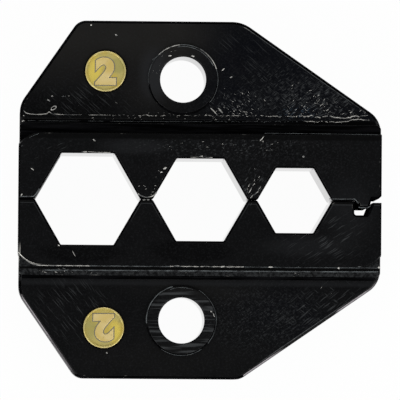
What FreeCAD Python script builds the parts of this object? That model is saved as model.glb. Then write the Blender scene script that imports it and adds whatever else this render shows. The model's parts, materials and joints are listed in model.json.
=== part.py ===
"""Two-half hexagon crimp die set: two blackened steel die halves and their brass marker pins.

The set lies on its back. X runs along the jaw, Y from the lower half to the upper half, and Z
points out of the front face. The jaws meet at Y = 0 and the back of the jaws lies at Z = 0.
"""
import FreeCAD, Part
import math
import os
import re

import Sketcher

# Driving sizes in millimetres. Lands and peaks are counted along the jaw from left to right.
SIZES = {
    # Hexagon cavities, across flats, and the metal between them along the parting face
    "large_hex": 9.14,
    "middle_hex": 8.23,
    "small_hex": 6.48,
    "left_land": 1.63,
    "first_peak": 1.25,
    "second_peak": 0.96,
    "right_land": 2.31,
    "hex_corner_radius": 0.15,
    "hex_mouth_radius": 0.3,
    # Tongue of the upper half, the notch that takes it, and the tab beyond
    "tongue_width": 1.72,
    "tongue_length": 0.68,
    "tongue_shoulder": 0.34,
    "tongue_lean": 0.34,
    "tongue_radius": 0.25,
    "tongue_clearance": 0.06,
    "notch_floor_gap": 0.72,
    "notch_lean": 0.52,
    "notch_radius": 0.25,
    "tab_width": 0.95,
    "tab_relief": 0.24,
    "tab_chamfer": 0.28,
    "end_relief": 0.14,
    # Jaw block
    "back_wall": 2.13,
    "jaw_thickness": 9.0,
    "closing_gap": 0.02,
    "jaw_corner_radius": 2.8,
    "jaw_corner_clip": 0.5,
    "crown_width": 0.45,
    "crown_drop": 0.14,
    "jaw_chamfer": 0.2,
    # Ledge behind the jaw, then the thinner wing; each step is the drop on one face
    "side_relief": 0.08,
    "ledge_width": 0.9,
    "ledge_step": 0.5,
    "wing_step": 0.8,
    "root_radius": 0.6,
    "wing_reach": 10.33,
    "left_shoulder": 1.88,
    "right_shoulder": 0.66,
    "left_slant_run": 5.83,
    "right_slant_run": 13.95,
    "left_shoulder_radius": 2.6,
    "right_shoulder_radius": 2.3,
    "back_left_radius": 1.45,
    "upper_back_right_radius": 3.2,
    "lower_back_right_radius": 1.6,
    "wing_chamfer": 0.3,
    # Screw hole with its raised boss, placed from the ledge and the left side
    "screw_from_left": 16.42,
    "screw_from_ledge": 4.46,
    "screw_hole_diameter": 4.6,
    "boss_wall": 1.25,
    "boss_proud": 0.3,
    "boss_chamfer": 0.22,
    "hole_chamfer": 0.15,
    # Brass marker pin, pressed through the wing size for size
    "pin_from_left": 8.64,
    "pin_from_ledge": 5.24,
    "pin_diameter": 4.07,
    "pin_proud": 0.25,
    "pin_rim_width": 0.17,
    "pin_field_depth": 0.1,
    "pin_edge_radius": 0.07,
}

# Places that follow from the sizes, from the middle of the jaw and from the parting face
JAW_WIDTH = ("(left_land + first_peak + second_peak + right_land + tongue_width + tab_width"
             " + (large_hex + middle_hex + small_hex) * 2 / sqrt(3))")
SIDE = "(%s / 2)" % JAW_WIDTH
LARGE_X = "(left_land + large_hex / sqrt(3) - %s)" % SIDE
MIDDLE_X = "(%s + first_peak + (large_hex + middle_hex) / sqrt(3))" % LARGE_X
SMALL_X = "(%s + second_peak + (middle_hex + small_hex) / sqrt(3))" % MIDDLE_X
TONGUE_RIGHT = "(%s - tab_width)" % SIDE
TONGUE_LEFT = "(%s - tongue_width)" % TONGUE_RIGHT
JAW_BACK = "(large_hex / 2 + back_wall)"
LEDGE_BACK = "(%s + ledge_width)" % JAW_BACK
WING_BACK = "(%s + wing_reach)" % LEDGE_BACK
WING_SIDE = "(%s - side_relief)" % SIDE
LEDGE_THICKNESS = "(jaw_thickness - 2 * ledge_step)"
WING_THICKNESS = "(jaw_thickness - 2 * ledge_step - 2 * wing_step)"
SCREW_X = "(screw_from_left - %s)" % SIDE
SCREW_Y = "(%s + screw_from_ledge)" % LEDGE_BACK
PIN_X = "(pin_from_left - %s)" % SIDE
PIN_Y = "(%s + pin_from_ledge)" % LEDGE_BACK
HEXES = ((LARGE_X, "large_hex"), (MIDDLE_X, "middle_hex"), (SMALL_X, "small_hex"))

doc = FreeCAD.newDocument("crimp_die")
sheet = doc.addObject("Spreadsheet::Sheet", "sizes")
for row, (alias, size) in enumerate(SIZES.items(), start=1):
    sheet.set("A%d" % row, alias)
    sheet.set("B%d" % row, str(size))
    sheet.setAlias("B%d" % row, alias)
doc.recompute()


def bound(expression):
    """The expression with each size's name pointing into the sheet."""
    return re.sub(r"[a-z_]+", lambda word: "sizes." + word[0] if word[0] in SIZES else word[0], expression)


def value(expression):
    """The number that an expression of the sheet gives now."""
    return float(doc.getObject("sizes").evalExpression(bound(expression)))


def add_body(label):
    body = doc.addObject("PartDesign::Body", label)
    body.Label = label
    return body


def add_sketch(body, name, plane_role):
    """A sketch on one of the body's own origin planes."""
    sketch = body.newObject("Sketcher::SketchObject", name)
    plane = next(item for item in body.Origin.OriginFeatures if item.Role == plane_role)
    sketch.AttachmentSupport = [(plane, "")]
    sketch.MapMode = "FlatFace"
    return sketch


def place_point(sketch, geometry, position, x, y):
    """Tie one point of the sketch to two expressions; a zero lies on the axis."""
    for kind, axis, expression in (("DistanceX", -2, x), ("DistanceY", -1, y)):
        if expression == "0":
            sketch.addConstraint(Sketcher.Constraint("PointOnObject", geometry, position, axis))
            continue
        rule = Sketcher.Constraint(kind, -1, 1, geometry, position, value(expression))
        index = sketch.addConstraint(rule)
        sketch.setExpression("Constraints[%d]" % index, bound(expression))


def round_corner(before, corner, after, radius):
    """Both ends of the arc that rounds a corner, its centre, and whether it turns left."""
    to_before = (before - corner).normalize()
    to_after = (after - corner).normalize()
    half_angle = to_before.getAngle(to_after) / 2
    reach = radius / math.tan(half_angle)
    bisector = (to_before + to_after).normalize()
    centre = corner + bisector * (radius / math.sin(half_angle))
    turns_left = (corner - before).cross(after - corner).z > 0
    return corner + to_before * reach, corner + to_after * reach, centre, turns_left


def draw_outline(sketch, corners):
    """A closed outline from (x, y, radius) expressions, with a true arc where a radius is given."""
    points = [FreeCAD.Vector(value(x), value(y), 0) for x, y, _ in corners]
    count = len(corners)
    starts, ends, arcs = [], [], {}
    for index, (_, _, radius) in enumerate(corners):
        corner = points[index]
        if radius is None:
            starts.append(corner)
            ends.append(corner)
            continue
        neighbours = points[index - 1], corner, points[(index + 1) % count]
        start, end, centre, turns_left = round_corner(*neighbours, value(radius))
        starts.append(start)
        ends.append(end)
        arcs[index] = centre, turns_left

    lines = []
    for index in range(count):
        side = Part.LineSegment(ends[index], starts[(index + 1) % count])
        lines.append(sketch.addGeometry(side, False))

    for index, (x, y, radius) in enumerate(corners):
        line_in, line_out = lines[index - 1], lines[index]
        if radius is None:
            sketch.addConstraint(Sketcher.Constraint("Coincident", line_in, 2, line_out, 1))
            place_point(sketch, line_out, 1, x, y)
            continue
        centre, turns_left = arcs[index]
        first, last = (starts[index], ends[index]) if turns_left else (ends[index], starts[index])
        angles = [math.atan2(point.y - centre.y, point.x - centre.x) for point in (first, last)]
        circle = Part.Circle(centre, FreeCAD.Vector(0, 0, 1), value(radius))
        arc = sketch.addGeometry(Part.ArcOfCircle(circle, *angles), False)
        enter, leave = (1, 2) if turns_left else (2, 1)
        sketch.addConstraint(Sketcher.Constraint("Tangent", line_in, 2, arc, enter))
        sketch.addConstraint(Sketcher.Constraint("Tangent", line_out, 1, arc, leave))
        rule = sketch.addConstraint(Sketcher.Constraint("Radius", arc, value(radius)))
        sketch.setExpression("Constraints[%d]" % rule, bound(radius))
        tip = sketch.addGeometry(Part.Point(points[index]), True)
        sketch.addConstraint(Sketcher.Constraint("PointOnObject", tip, 1, line_in))
        sketch.addConstraint(Sketcher.Constraint("PointOnObject", tip, 1, line_out))
        place_point(sketch, tip, 1, x, y)


def draw_circle(sketch, x, y, diameter):
    centre = FreeCAD.Vector(value(x), value(y), 0)
    circle = sketch.addGeometry(Part.Circle(centre, FreeCAD.Vector(0, 0, 1), value(diameter) / 2), False)
    place_point(sketch, circle, 3, x, y)
    rule = sketch.addConstraint(Sketcher.Constraint("Diameter", circle, value(diameter)))
    sketch.setExpression("Constraints[%d]" % rule, bound(diameter))


def add_pad(body, name, sketch, thickness):
    """Material on both sides of the mid-plane."""
    pad = body.newObject("PartDesign::Pad", name)
    pad.Profile = sketch
    pad.SideType = "Symmetric"
    pad.Length = value(thickness)
    pad.setExpression("Length", bound(thickness))
    doc.recompute()
    return pad


def add_pocket(body, name, sketch):
    """A cut right through on both sides of the sketch."""
    before = body.Shape.Volume
    pocket = body.newObject("PartDesign::Pocket", name)
    pocket.Profile = sketch
    pocket.SideType = "Symmetric"
    pocket.Type = "ThroughAll"
    doc.recompute()
    if not body.Shape.Volume < before:
        raise RuntimeError("%s cut nothing from %s" % (name, body.Label))
    return pocket


def pick_edges(feature, wanted):
    """The names of the feature's edges for which wanted(edge) holds."""
    names = ["Edge%d" % number for number, edge in enumerate(feature.Shape.Edges, start=1) if wanted(edge)]
    if not names:
        raise RuntimeError("no edge found on " + feature.Label)
    return names


def upright_at(edge, places):
    """Whether the edge runs along Z at one of the (x, y) places."""
    ends = [vertex.Point for vertex in edge.Vertexes]
    if len(ends) != 2 or ends[0].distanceToPoint(FreeCAD.Vector(ends[0].x, ends[0].y, ends[1].z)) < 1e-6:
        return False
    return any(all(math.hypot(end.x - x, end.y - y) < 1e-4 for end in ends) for x, y in places)


def add_edge_feature(body, kind, name, base, edges, expressions, **settings):
    """A fillet or chamfer on named edges of the base feature."""
    feature = body.newObject("PartDesign::" + kind, name)
    feature.Base = (base, edges)
    for setting, choice in settings.items():
        setattr(feature, setting, choice)
    for setting, expression in expressions.items():
        feature.setExpression(setting, bound(expression))
    doc.recompute()
    if not feature.isValid() or feature.Shape.isNull():
        raise RuntimeError("%s failed on %s" % (name, body.Label))
    return feature


def jaw_block_corners(half):
    """The jaw block, wider than the finished jaw so that its rounded back corners get clipped."""
    wide = "(%s + jaw_corner_clip)" % SIDE
    back = [
        (wide, JAW_BACK, None if half == "upper" else "jaw_corner_radius"),
        ("-" + wide, JAW_BACK, "jaw_corner_radius"),
        ("-" + wide, "0", None),
    ]
    if half == "upper":
        flank = TONGUE_LEFT + " + tongue_shoulder"
        front = [
            (TONGUE_LEFT, "0", None),
            (flank, "-tongue_shoulder", None),
            (flank, "-tongue_length", None),
            (TONGUE_RIGHT + " - tongue_lean", "-tongue_length", "tongue_radius"),
            (TONGUE_RIGHT, "tab_relief", None),
            (wide, "tab_relief", None),
        ]
    else:
        floor = "tongue_length + notch_floor_gap"
        near = TONGUE_LEFT + " - tongue_clearance"
        far = TONGUE_RIGHT + " + tongue_clearance"
        front = [
            (near, "0", None),
            (near, floor, "notch_radius"),
            (far + " - notch_lean", floor, "notch_radius"),
            (far, "end_relief", None),
            (wide, "end_relief", None),
        ]
    return back + front


def wing_corners(half):
    inside = JAW_BACK + " - jaw_corner_radius / 2"
    return [
        (WING_SIDE, inside, None),
        (WING_SIDE, LEDGE_BACK + " + right_shoulder", "right_shoulder_radius"),
        (WING_SIDE + " - right_slant_run", WING_BACK, half + "_back_right_radius"),
        ("left_slant_run - " + WING_SIDE, WING_BACK, "back_left_radius"),
        ("-" + WING_SIDE, LEDGE_BACK + " + left_shoulder", "left_shoulder_radius"),
        ("-" + WING_SIDE, inside, None),
    ]


def trim_jaw_sides(body, half):
    """Clip the wide jaw block to the jaw's width, with the tab's chamfered corner on the upper half."""
    past = "(%s + 2 * jaw_corner_clip)" % SIDE
    below = "-jaw_corner_clip"
    above = JAW_BACK + " + jaw_corner_clip"
    sketch = add_sketch(body, "side_trim_sketch", "XY_Plane")
    left = [("-" + past, below, None), ("-" + SIDE, below, None),
            ("-" + SIDE, above, None), ("-" + past, above, None)]
    right = [(past, below, None), (past, above, None), (SIDE, above, None)]
    if half == "upper":
        right += [(SIDE, "tab_relief + tab_chamfer", None),
                  (SIDE + " - tab_chamfer", "tab_relief", None),
                  (SIDE + " - tab_chamfer", below, None)]
    else:
        right += [(SIDE, below, None)]
    draw_outline(sketch, left)
    draw_outline(sketch, right)
    return add_pocket(body, "side_trim", sketch)


def relieve_wing(body):
    """Mill both faces down from ledge to wing level, with a rounded root along the ledge."""
    sketch = add_sketch(body, "wing_relief_sketch", "YZ_Plane")
    past = WING_BACK + " + wing_chamfer"
    for side in ("", "-"):
        level = side + WING_THICKNESS + " / 2"
        clear = side + "(jaw_thickness / 2 + wing_chamfer)"
        draw_outline(sketch, [
            (LEDGE_BACK, clear, None),
            (LEDGE_BACK, level, "root_radius"),
            (past, level, None),
            (past, clear, None),
        ])
    return add_pocket(body, "wing_relief", sketch)


def cut_hexes(body):
    """The half of each hexagon that lies in this jaw."""
    sketch = add_sketch(body, "hex_cavity_sketch", "XY_Plane")
    for centre, flats in HEXES:
        corner = "%s / sqrt(3)" % flats
        flat_end = "%s / sqrt(3) / 2" % flats
        draw_outline(sketch, [
            ("%s - %s" % (centre, corner), "-closing_gap - tab_chamfer", None),
            ("%s + %s" % (centre, corner), "-closing_gap - tab_chamfer", None),
            ("%s + %s" % (centre, corner), "0", None),
            ("%s + %s" % (centre, flat_end), "%s / 2" % flats, "hex_corner_radius"),
            ("%s - %s" % (centre, flat_end), "%s / 2" % flats, "hex_corner_radius"),
            ("%s - %s" % (centre, corner), "0", None),
        ])
    return add_pocket(body, "hex_cavities", sketch)


def break_edges(body, base):
    """Round the hexagon mouths, then chamfer the front and back edges of jaw and wing."""
    mouths = [(value(centre) + way * value(flats) / math.sqrt(3), 0.0)
              for centre, flats in HEXES for way in (-1, 1)]
    edges = pick_edges(base, lambda edge: upright_at(edge, mouths))
    base = add_edge_feature(body, "Fillet", "hex_mouth_rounding", base, edges,
                            {"Radius": "hex_mouth_radius"})

    jaw_face = value("jaw_thickness / 2")
    cavity_top = value("large_hex / 2")

    def at_level(edge, level):
        box = edge.BoundBox
        return box.ZLength < 1e-4 and abs(abs(box.Center.z) - level) < 1e-4

    def on_jaw_profile(edge):
        return at_level(edge, jaw_face) and edge.CenterOfMass.y < cavity_top + 1e-4

    edges = pick_edges(base, on_jaw_profile)
    base = add_edge_feature(body, "Chamfer", "jaw_edge_chamfer", base, edges, {"Size": "jaw_chamfer"})

    wing_face = value(WING_THICKNESS) / 2

    def on_wing_outline(edge):
        middle = edge.CenterOfMass
        straight_or_corner = edge.Curve.TypeId == "Part::GeomLine" or not edge.isClosed()
        return (at_level(edge, wing_face) and straight_or_corner
                and middle.y > value(LEDGE_BACK + " + root_radius") + 1e-4)

    edges = pick_edges(base, on_wing_outline)
    return add_edge_feature(body, "Chamfer", "wing_edge_chamfer", base, edges, {"Size": "wing_chamfer"})


def add_screw_boss(body):
    """A low round boss on both faces of the wing, bored through for the screw."""
    sketch = add_sketch(body, "boss_sketch", "XY_Plane")
    draw_circle(sketch, SCREW_X, SCREW_Y, "screw_hole_diameter + 2 * boss_wall")
    boss = add_pad(body, "screw_boss", sketch, WING_THICKNESS + " + 2 * boss_proud")
    rim = value("screw_hole_diameter / 2 + boss_wall")

    def is_circle(edge, radius):
        return edge.isClosed() and abs(edge.Curve.Radius - radius) < 1e-4

    face = value(WING_THICKNESS + " / 2 + boss_proud")
    edges = pick_edges(boss, lambda edge: is_circle(edge, rim) and abs(edge.CenterOfMass.z) > face - 1e-4)
    add_edge_feature(body, "Chamfer", "boss_chamfer", boss, edges, {"Size": "boss_chamfer"})

    sketch = add_sketch(body, "screw_hole_sketch", "XY_Plane")
    draw_circle(sketch, SCREW_X, SCREW_Y, "screw_hole_diameter")
    hole = add_pocket(body, "screw_hole", sketch)
    bore = value("screw_hole_diameter / 2")
    edges = pick_edges(hole, lambda edge: is_circle(edge, bore))
    return add_edge_feature(body, "Chamfer", "hole_mouth_chamfer", hole, edges, {"Size": "hole_chamfer"})


def build_die(half):
    """One die half, with its mid-plane in XY and its parting face along X."""
    body = add_body(half + "_die")

    sketch = add_sketch(body, "jaw_block_sketch", "XY_Plane")
    draw_outline(sketch, jaw_block_corners(half))
    jaw = add_pad(body, "jaw_block", sketch, "jaw_thickness")

    face = value("jaw_thickness / 2")
    back = value(JAW_BACK)
    edges = pick_edges(jaw, lambda edge: abs(abs(edge.CenterOfMass.z) - face) < 1e-4
                       and abs(edge.CenterOfMass.y - back) < 1e-4)
    add_edge_feature(body, "Chamfer", "jaw_crown", jaw, edges,
                     {"Size": "crown_width", "Size2": "crown_drop"}, ChamferType="Two distances")
    trim_jaw_sides(body, half)

    sketch = add_sketch(body, "blank_sketch", "XY_Plane")
    draw_outline(sketch, wing_corners(half))
    add_pad(body, "blank", sketch, LEDGE_THICKNESS)
    relieve_wing(body)
    cavities = cut_hexes(body)
    break_edges(body, cavities)
    add_screw_boss(body)

    sketch = add_sketch(body, "pin_seat_sketch", "XY_Plane")
    draw_circle(sketch, PIN_X, PIN_Y, "pin_diameter")
    add_pocket(body, "pin_seat", sketch)
    return body


def build_pin(label):
    """A marker pin turned about Z, with a raised rim around the field on each end."""
    body = add_body(label)
    radius = "pin_diameter / 2"
    field_edge = "pin_diameter / 2 - pin_rim_width"
    tip = "(%s / 2 + pin_proud)" % WING_THICKNESS
    field = "(%s / 2 + pin_proud - pin_field_depth)" % WING_THICKNESS
    sketch = add_sketch(body, "pin_section_sketch", "XZ_Plane")
    draw_outline(sketch, [
        ("0", "-" + field, None),
        (field_edge, "-" + field, None),
        (field_edge, "-" + tip, None),
        (radius, "-" + tip, "pin_edge_radius"),
        (radius, tip, "pin_edge_radius"),
        (field_edge, tip, None),
        (field_edge, field, None),
        ("0", field, None),
    ])
    turned = body.newObject("PartDesign::Revolution", "turned_pin")
    turned.Profile = sketch
    turned.ReferenceAxis = (sketch, ["V_Axis"])
    turned.Angle = 360
    doc.recompute()
    return body


def place(body, x, y, turned_over):
    """Put the body at its place; the lower half is the upper one turned over about X."""
    body.Placement = FreeCAD.Placement(FreeCAD.Vector(), FreeCAD.Rotation(0, 0, 180 if turned_over else 0))
    if x is not None:
        body.setExpression("Placement.Base.x", bound(x))
    body.setExpression("Placement.Base.y", bound(y))
    body.setExpression("Placement.Base.z", bound("jaw_thickness / 2"))


upper_die = build_die("upper")
lower_die = build_die("lower")
upper_pin = build_pin("upper_marker_pin")
lower_pin = build_pin("lower_marker_pin")

place(upper_die, None, "closing_gap / 2", False)
place(lower_die, None, "-closing_gap / 2", True)
place(upper_pin, PIN_X, PIN_Y + " + closing_gap / 2", False)
place(lower_pin, PIN_X, "-%s - closing_gap / 2" % PIN_Y, True)
doc.recompute()

for item in doc.Objects:
    if "Invalid" in item.State or "Error" in item.State:
        raise RuntimeError("%s did not build: %s" % (item.Label, item.State))

os.makedirs("parts", exist_ok=True)
for body in (upper_die, lower_die, upper_pin, lower_pin):
    if body.Shape.isNull() or not body.Shape.isValid() or len(body.Shape.Solids) != 1:
        raise RuntimeError("%s is not one valid solid" % body.Label)
    body.Shape.exportStep("parts/%s.step" % body.Label)
    print(body.Label, round(body.Shape.Volume, 2), "mm3")
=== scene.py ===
"""The looks of a hexagon crimp die set: blackened steel halves with worn edges, and brass marker pins."""
import bmesh
import bpy
import json
import math
from bpy.props import FloatProperty, FloatVectorProperty, IntProperty, PointerProperty, StringProperty
from mathutils import Matrix, Vector


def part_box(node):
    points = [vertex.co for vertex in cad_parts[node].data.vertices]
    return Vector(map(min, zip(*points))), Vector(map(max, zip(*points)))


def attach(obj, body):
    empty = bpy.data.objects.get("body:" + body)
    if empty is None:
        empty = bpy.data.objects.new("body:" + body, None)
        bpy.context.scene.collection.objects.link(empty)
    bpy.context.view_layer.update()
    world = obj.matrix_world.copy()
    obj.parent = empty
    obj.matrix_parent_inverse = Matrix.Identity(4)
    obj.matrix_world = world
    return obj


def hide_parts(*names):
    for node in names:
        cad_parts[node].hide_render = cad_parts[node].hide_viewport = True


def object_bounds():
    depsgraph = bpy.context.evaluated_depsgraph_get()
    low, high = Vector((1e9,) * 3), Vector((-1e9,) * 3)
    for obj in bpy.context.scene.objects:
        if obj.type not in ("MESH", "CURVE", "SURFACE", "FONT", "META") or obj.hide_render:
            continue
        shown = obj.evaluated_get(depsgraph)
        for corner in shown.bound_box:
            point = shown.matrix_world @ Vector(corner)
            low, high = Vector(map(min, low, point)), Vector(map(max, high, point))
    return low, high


bl_info = {
    "name": "Crimp die set",
    "version": (1, 0, 0),
    "blender": (4, 5, 0),
    "location": "3D View > Sidebar > Crimp die",
    "description": "Dresses a two-half hexagon crimp die set in worn black oxide and brass",
    "category": "Object",
}

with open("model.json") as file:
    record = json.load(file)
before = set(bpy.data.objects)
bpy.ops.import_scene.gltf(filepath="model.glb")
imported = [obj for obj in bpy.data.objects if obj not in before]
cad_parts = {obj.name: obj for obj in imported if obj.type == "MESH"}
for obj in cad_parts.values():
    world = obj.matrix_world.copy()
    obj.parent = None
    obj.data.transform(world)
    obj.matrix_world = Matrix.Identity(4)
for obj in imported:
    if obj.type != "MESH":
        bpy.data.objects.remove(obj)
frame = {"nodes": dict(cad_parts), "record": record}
cad_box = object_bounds()
MM = 0.001
HALVES = ("upper", "lower")


def in_mm(place):
    return place[0] / MM, place[1] / MM


# Places in millimetres: the screw holes, the marker pins, and each cavity's middle and width across flats
MOUNTS = {mount["name"]: mount["pos_m"] for mount in frame["record"]["mounts"]}
SCREWS = {half: in_mm(MOUNTS[half + "_screw_hole"]) for half in HALVES}
PINS = {half: in_mm(sum(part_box(half + "_marker_pin"), Vector()) / 2) for half in HALVES}
HEXAGONS = ((-11.27, 9.14), (0.01, 8.23), (9.46, 6.48))

# Heights of the front faces, and radii of the foot of a boss and of the painted shadow ring round a pin
JAW, LEDGE, BOSS, WING = 9.0, 8.5, 8.0, 7.7
BOSS_FOOT, PIN_SHADOW_RADIUS = 3.5, 2.28

# Width of a pin's raised rim and depth of the field inside it
PIN_RIM, FIELD_DEPTH = 0.18, 0.1


def colour(name, default, description):
    return FloatVectorProperty(name=name, description=description, default=default, size=3, min=0, max=1,
                               subtype="COLOR")


def length(name, default, description):
    return FloatProperty(name=name, description=description, default=default * MM, min=0, unit="LENGTH",
                         subtype="DISTANCE", precision=5)


class SteelFinish(bpy.types.PropertyGroup):
    """The black oxide, the steel that shows where it is worn, and the painted shade, light and highlights.
    """
    edge_break: length("Edge break", 0.035, "Width of the narrow facet along every outer edge")
    grain_size: length("Grain size", 0.16, "Size of the fine leathery grain on the faces")
    oxide: colour("Oxide", (0.0029, 0.0030, 0.0034), "Plain black of the coating")
    warm_oxide: colour("Warm oxide", (0.0125, 0.0120, 0.0112), "Lighter, warmer black at the back left")
    cool_oxide: colour("Cool oxide", (0.0010, 0.0014, 0.0030), "Bluish black of the worked faces")
    deep_oxide: colour("Deep oxide", (0.0002, 0.0002, 0.0004), "Black of the faces beside the steps")
    # The scuffed grey also paints a highlight on the face below the lower step
    scuffed_grey_and_highlight: colour("Scuffed oxide", (0.019, 0.020, 0.022), "Dark grey of the coating's raised grain")
    # The rubbed grey also paints light on the lower ledge and highlights on the chamfers' inner borders
    rubbed: colour("Rubbed oxide", (0.075, 0.080, 0.083), "Grey of the coating where it is rubbed thin")
    bluish: colour("Bluish rub", (0.045, 0.075, 0.11), "Blue grey of one rubbed place behind the jaw")
    # Painted reflection of the lights on the lower half's long chamfers
    painted_chamfer_reflection: colour("Painted chamfer reflection", (0.150, 0.140, 0.148), "Lavender grey of the long chamfers")
    worn_grey_and_highlight: colour("Worn grey", (0.125, 0.140, 0.145), "Steel that is rubbed but not bright")
    # Bare steel also colours the painted highlight arcs on the boss rims
    bare_steel: colour("Bare steel", (0.60, 0.59, 0.55), "Steel where the coating is gone")
    # Painted shade: the dead black of the steps' roots, hole mouths, notch walls, shaded chamfers, boss
    # chamfers below the screw and the black bands
    grime: colour("Painted shade", (0.0008, 0.0008, 0.0009), "Dead black of the steps' roots and shaded chamfers")


class WearMarks(bpy.types.PropertyGroup):
    """Sizes of the worn lines, nicks and flecks."""
    line_radius: length("Line radius", 0.045, "Half the width of the worn lines along the steps")
    waviness: length("Waviness", 0.10, "How far the worn lines wander")
    fleck_length: length("Fleck length", 0.42, "Length of the longest bright fleck")
    seed: IntProperty(name="Seed", description="Starts the pattern of gaps and flecks", default=4, min=0)


class BrassFinish(bpy.types.PropertyGroup):
    """The marker pins."""
    field: colour("Field", (0.60, 0.51, 0.17), "Olive brass of the sunk field")
    rim: colour("Rim", (0.90, 0.76, 0.34), "Polished brass of the raised rim")
    raised: colour("Raised numeral", (0.80, 0.60, 0.19), "Warmer brass of the raised numeral")
    # Painted shadow round the numeral, laid on a wider, low copy of it
    outline: colour("Outline", (0.25, 0.24, 0.20), "Grey patina around the numeral")
    gilt: colour("Gilt patch", (0.86, 0.68, 0.12), "Golden patches of the field")
    olive: colour("Olive patch", (0.36, 0.34, 0.10), "Dull olive patches of the field")
    numeral: StringProperty(name="Numeral", description="Set number on both pins", default="2", maxlen=1)
    numeral_height: length("Numeral height", 2.75, "Height of the numeral")
    numeral_relief: length("Numeral relief", 0.07, "How far the numeral stands up from the field")


class Studio(bpy.types.PropertyGroup):
    """Camera and light."""
    foot: FloatVectorProperty(name="Camera foot", description="Point below the camera", size=2,
                              default=(-19.92 * MM, -19.17 * MM), unit="LENGTH", precision=5)
    aim: FloatVectorProperty(name="Aim", description="Point of the front face in the middle of the picture",
                             size=2, default=(-0.02 * MM, -0.02 * MM), unit="LENGTH", precision=5)
    height: length("Camera height", 609, "Height of the camera above the floor")
    view_width: length("View width", 40, "Width of the picture at the front face of the jaws")
    roll: FloatProperty(name="Roll", description="Turn of the camera about its line of sight",
                        default=math.radians(0.48), subtype="ANGLE", unit="ROTATION")
    light: FloatProperty(name="Light", description="Power of each front soft light in watts", default=1.9,
                         min=0)
    sky: FloatProperty(name="Sky", description="Strength of the light from all round", default=0.24, min=0)


GROUPS = (("crimp_steel", SteelFinish), ("crimp_wear", WearMarks), ("crimp_brass", BrassFinish),
          ("crimp_studio", Studio))


# Node trees

def give(tree, node, inputs):
    """Give a node its inputs: numbers, colours or other nodes' outputs."""
    for socket, given in inputs.items():
        if isinstance(given, bpy.types.NodeSocket):
            tree.links.new(given, node.inputs[socket])
        else:
            node.inputs[socket].default_value = given
    return node


def add_node(tree, kind, inputs=(), **settings):
    """A node with its settings and its inputs."""
    node = tree.nodes.new(kind)
    for name, setting in settings.items():
        setattr(node, name, setting)
    return give(tree, node, dict(inputs))


def maths(tree, operation, first, second=0.0, third=0.0, clamp=False):
    inputs = {0: first, 1: second, 2: third}
    return add_node(tree, "ShaderNodeMath", inputs, operation=operation, use_clamp=clamp).outputs[0]


def vectors(tree, operation, first, second=(0, 0, 0)):
    """Maths on vectors that gives a vector."""
    return add_node(tree, "ShaderNodeVectorMath", {0: first, 1: second}, operation=operation).outputs[0]


def scaled(tree, vector, scale):
    return add_node(tree, "ShaderNodeVectorMath", {0: vector, "Scale": scale}, operation="SCALE").outputs[0]


def combined(tree, x=0.0, y=0.0, z=0.0):
    return add_node(tree, "ShaderNodeCombineXYZ", {0: x, 1: y, 2: z}).outputs[0]


def turned_about_z(tree, place, angle):
    inputs = {"Vector": place, "Angle": angle}
    return add_node(tree, "ShaderNodeVectorRotate", inputs, rotation_type="Z_AXIS").outputs[0]


def noise(tree, place, scale, detail, **more):
    """Soft noise between 0 and 1, whose scale is in waves to a metre."""
    inputs = {"Vector": place, "Scale": scale, "Detail": detail, **more}
    return add_node(tree, "ShaderNodeTexNoise", inputs).outputs["Fac"]


def ramp(tree, given, start, end, low=0.0, high=1.0):
    """A smooth step from low to high while the given number goes from start to end."""
    inputs = {"Value": given, "From Min": start, "From Max": end, "To Min": low, "To Max": high}
    return add_node(tree, "ShaderNodeMapRange", inputs, interpolation_type="SMOOTHSTEP").outputs["Result"]


def rise(tree, distance, start, end):
    """A smooth step from 0 to 1 while a distance goes from start to end, in millimetres."""
    return ramp(tree, distance, start * MM, end * MM)


def strip(tree, distance, low, high, soft):
    """A soft-edged band of a distance, in millimetres."""
    return product(tree, rise(tree, distance, low - soft, low + soft),
                   rise(tree, distance, high + soft, high - soft))


def blend(tree, amount, first, second):
    """A mix of two colours."""
    return add_node(tree, "ShaderNodeMix", {0: amount, 6: first, 7: second}, data_type="RGBA").outputs[2]


def rgba(values, times=1.0):
    return (*(times * part for part in values), 1.0)


def total(tree, masks):
    """The masks added up, and 1 at most."""
    result = masks[0]
    for mask in masks[1:]:
        result = maths(tree, "ADD", result, mask, clamp=True)
    return result


def product(tree, *masks):
    """What the masks have in common."""
    result = masks[0]
    for mask in masks[1:]:
        result = maths(tree, "MULTIPLY", result, mask)
    return result


def bump(tree, height, strength, distance):
    """The normals of a height map, whose distance is in millimetres."""
    inputs = {"Strength": strength, "Distance": distance * MM, "Height": height}
    return add_node(tree, "ShaderNodeBump", inputs).outputs[0]


def new_group(name, kind, inputs, outputs):
    """An empty node group with named inputs, as name: (kind, default), and outputs, as name: kind."""
    tree = bpy.data.node_groups.new(name, kind)
    for socket, (sort, default) in inputs.items():
        made = tree.interface.new_socket(name=socket, in_out="INPUT", socket_type="NodeSocket" + sort)
        if default is not None:
            made.default_value = default
    for socket, sort in outputs.items():
        tree.interface.new_socket(name=socket, in_out="OUTPUT", socket_type="NodeSocket" + sort)
    given = tree.nodes.new("NodeGroupInput").outputs
    return tree, given, tree.nodes.new("NodeGroupOutput").inputs


def use_group(tree, group, inputs):
    return add_node(tree, "ShaderNodeGroup", inputs, node_tree=group).outputs[0]


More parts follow.
